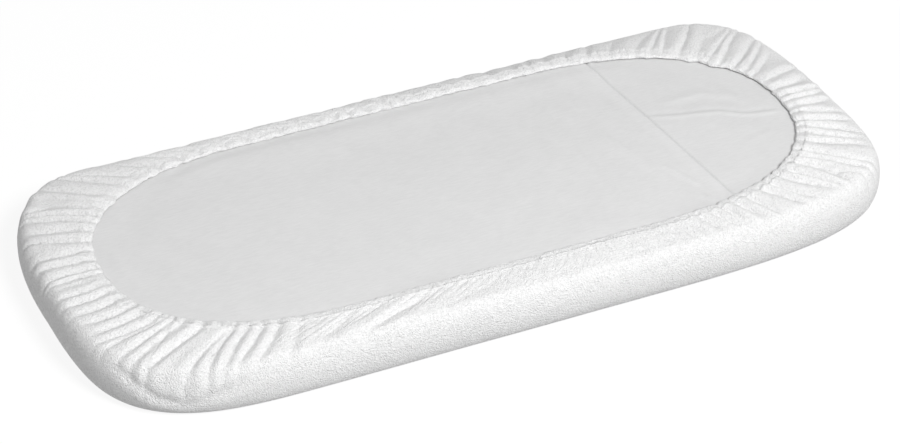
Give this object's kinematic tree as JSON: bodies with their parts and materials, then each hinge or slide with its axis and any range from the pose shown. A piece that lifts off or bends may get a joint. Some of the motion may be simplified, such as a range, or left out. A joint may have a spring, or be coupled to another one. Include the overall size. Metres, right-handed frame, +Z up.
{
  "type": "changing pad",
  "caption": "Flat rectangular foam pad with rounded ends in a terry fitted cover, lying face down so the gathered elastic opening and the plain case underside show.",
  "frame": {"origin": "middle of the surface the pad lies on, under the middle of its sleeping side", "axes": "+X along the pad's length towards the end with the closure, +Y across its width, +Z up out of the cover's opening"},
  "size_m": [0.9, 0.4, 0.06],
  "materials": {
    "foam": "open-cell polyurethane foam, dull, pale cream",
    "case_cotton": "fine plain-woven cotton, matt, light grey white",
    "terry": "cotton terry with short loops outside, matt, white; the same cloth is folded and ruffled round the elastic",
    "elastic": "flat braided elastic, white, slightly shiny",
    "thread": "twisted polyester sewing thread, white"
  },
  "bodies": {
    "root": {"foam_core": "foam", "case_face_panel": "case_cotton", "case_border": "case_cotton", "case_underside_panel": "case_cotton", "case_closure_flap": "case_cotton", "case_face_seam": "thread", "case_underside_seam": "thread", "terry_cover": "terry", "hem_casing": "terry", "elastic_band": "elastic", "elastic_join": "thread", "hem_stitching": "thread", "dart_seam_front_left": "thread", "dart_seam_front_right": "thread", "dart_seam_back_right": "thread", "dart_seam_back_left": "thread"}
  },
  "joints": []
}
